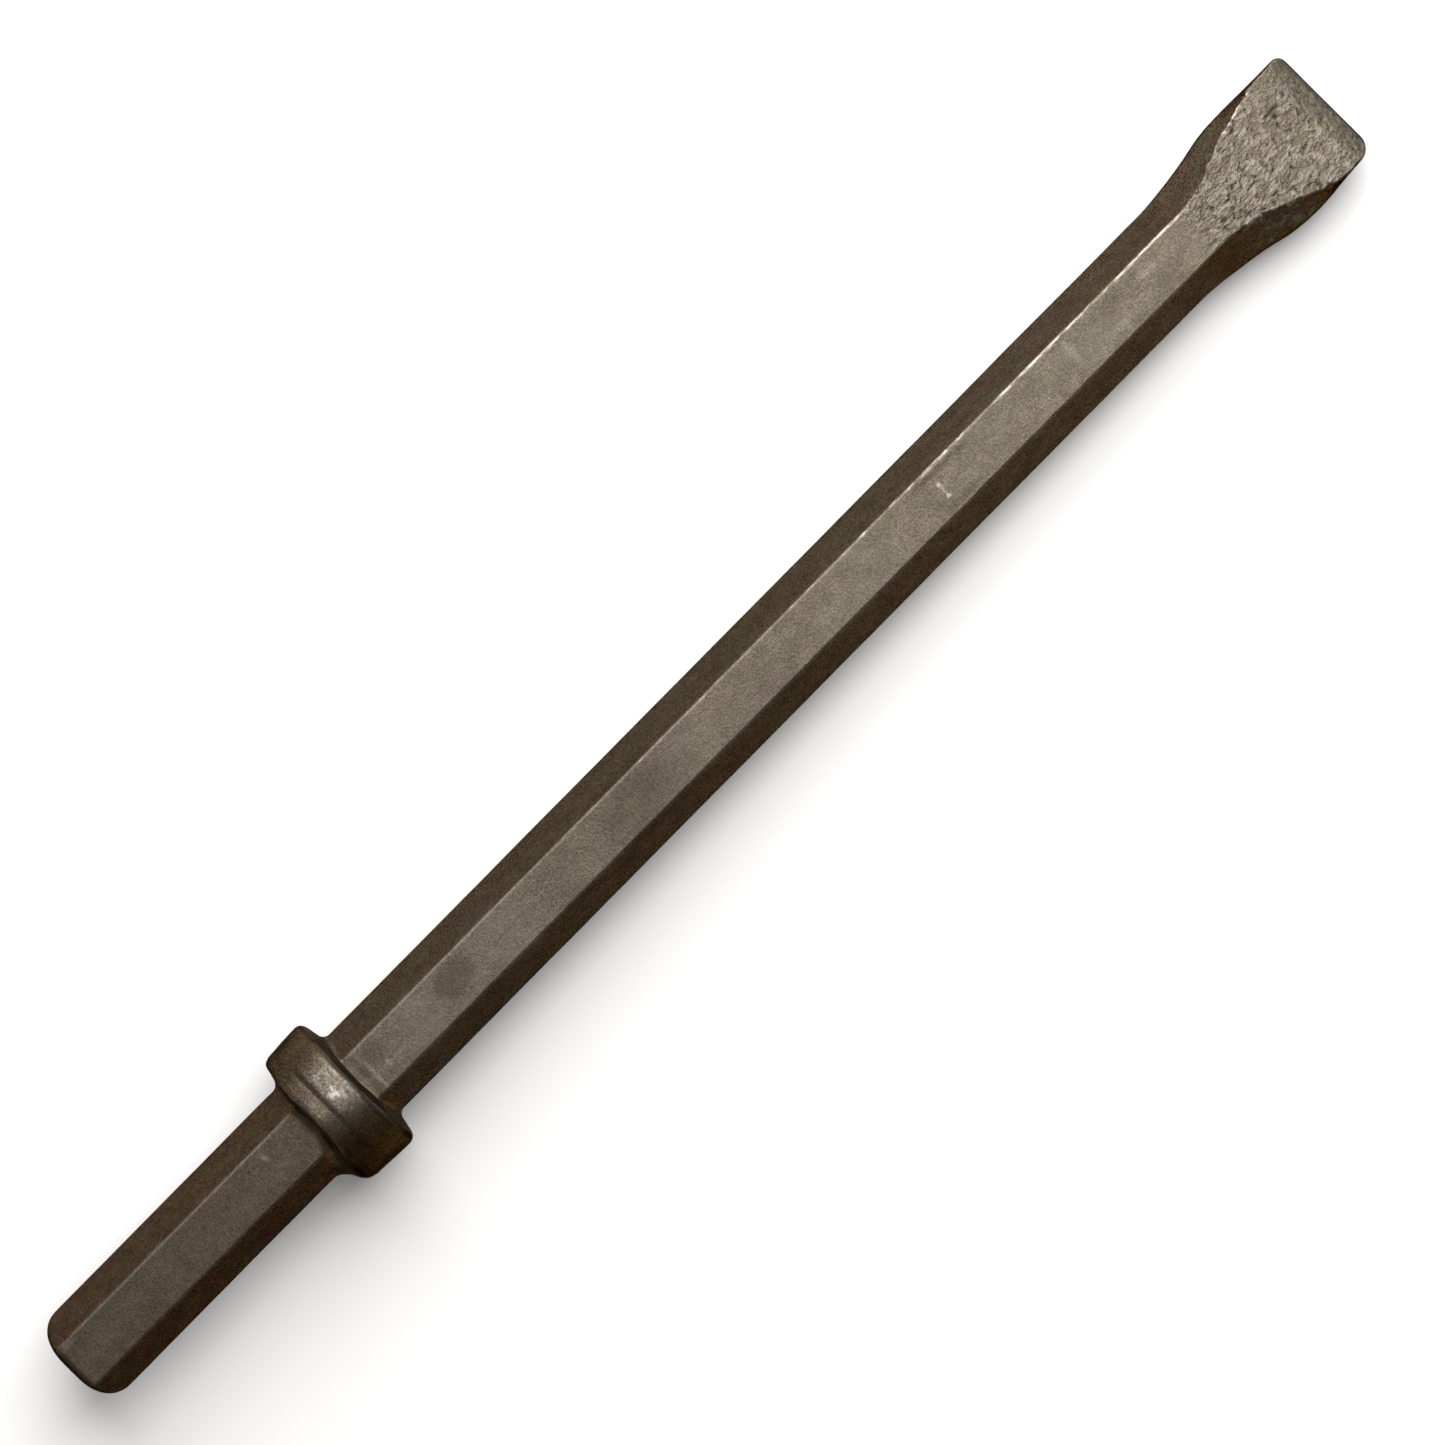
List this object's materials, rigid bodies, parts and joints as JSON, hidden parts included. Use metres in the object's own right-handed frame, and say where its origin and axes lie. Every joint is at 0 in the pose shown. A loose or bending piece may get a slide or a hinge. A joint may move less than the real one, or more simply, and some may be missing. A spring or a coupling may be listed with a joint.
{
  "type": "collared hex-shank chisel bit",
  "caption": "Forged steel chisel bit for a light breaker: hexagonal bar and shank, round retaining collar, flared flat blade with a ground cutting edge.",
  "frame": {"origin": "centre of the small flat disc on the struck end face of the shank", "axes": "+X along the bar from the struck end to the cutting edge; +Y along the cutting edge; +Z the normal of the blade's upper broad face and of one flat of the hexagon"},
  "size_m": [0.4325, 0.0394, 0.0394],
  "materials": {
    "steel": "dark brown-grey forging scale, worn bright along the edges"
  },
  "bodies": {
    "root": {"chisel": "steel"}
  },
  "joints": []
}
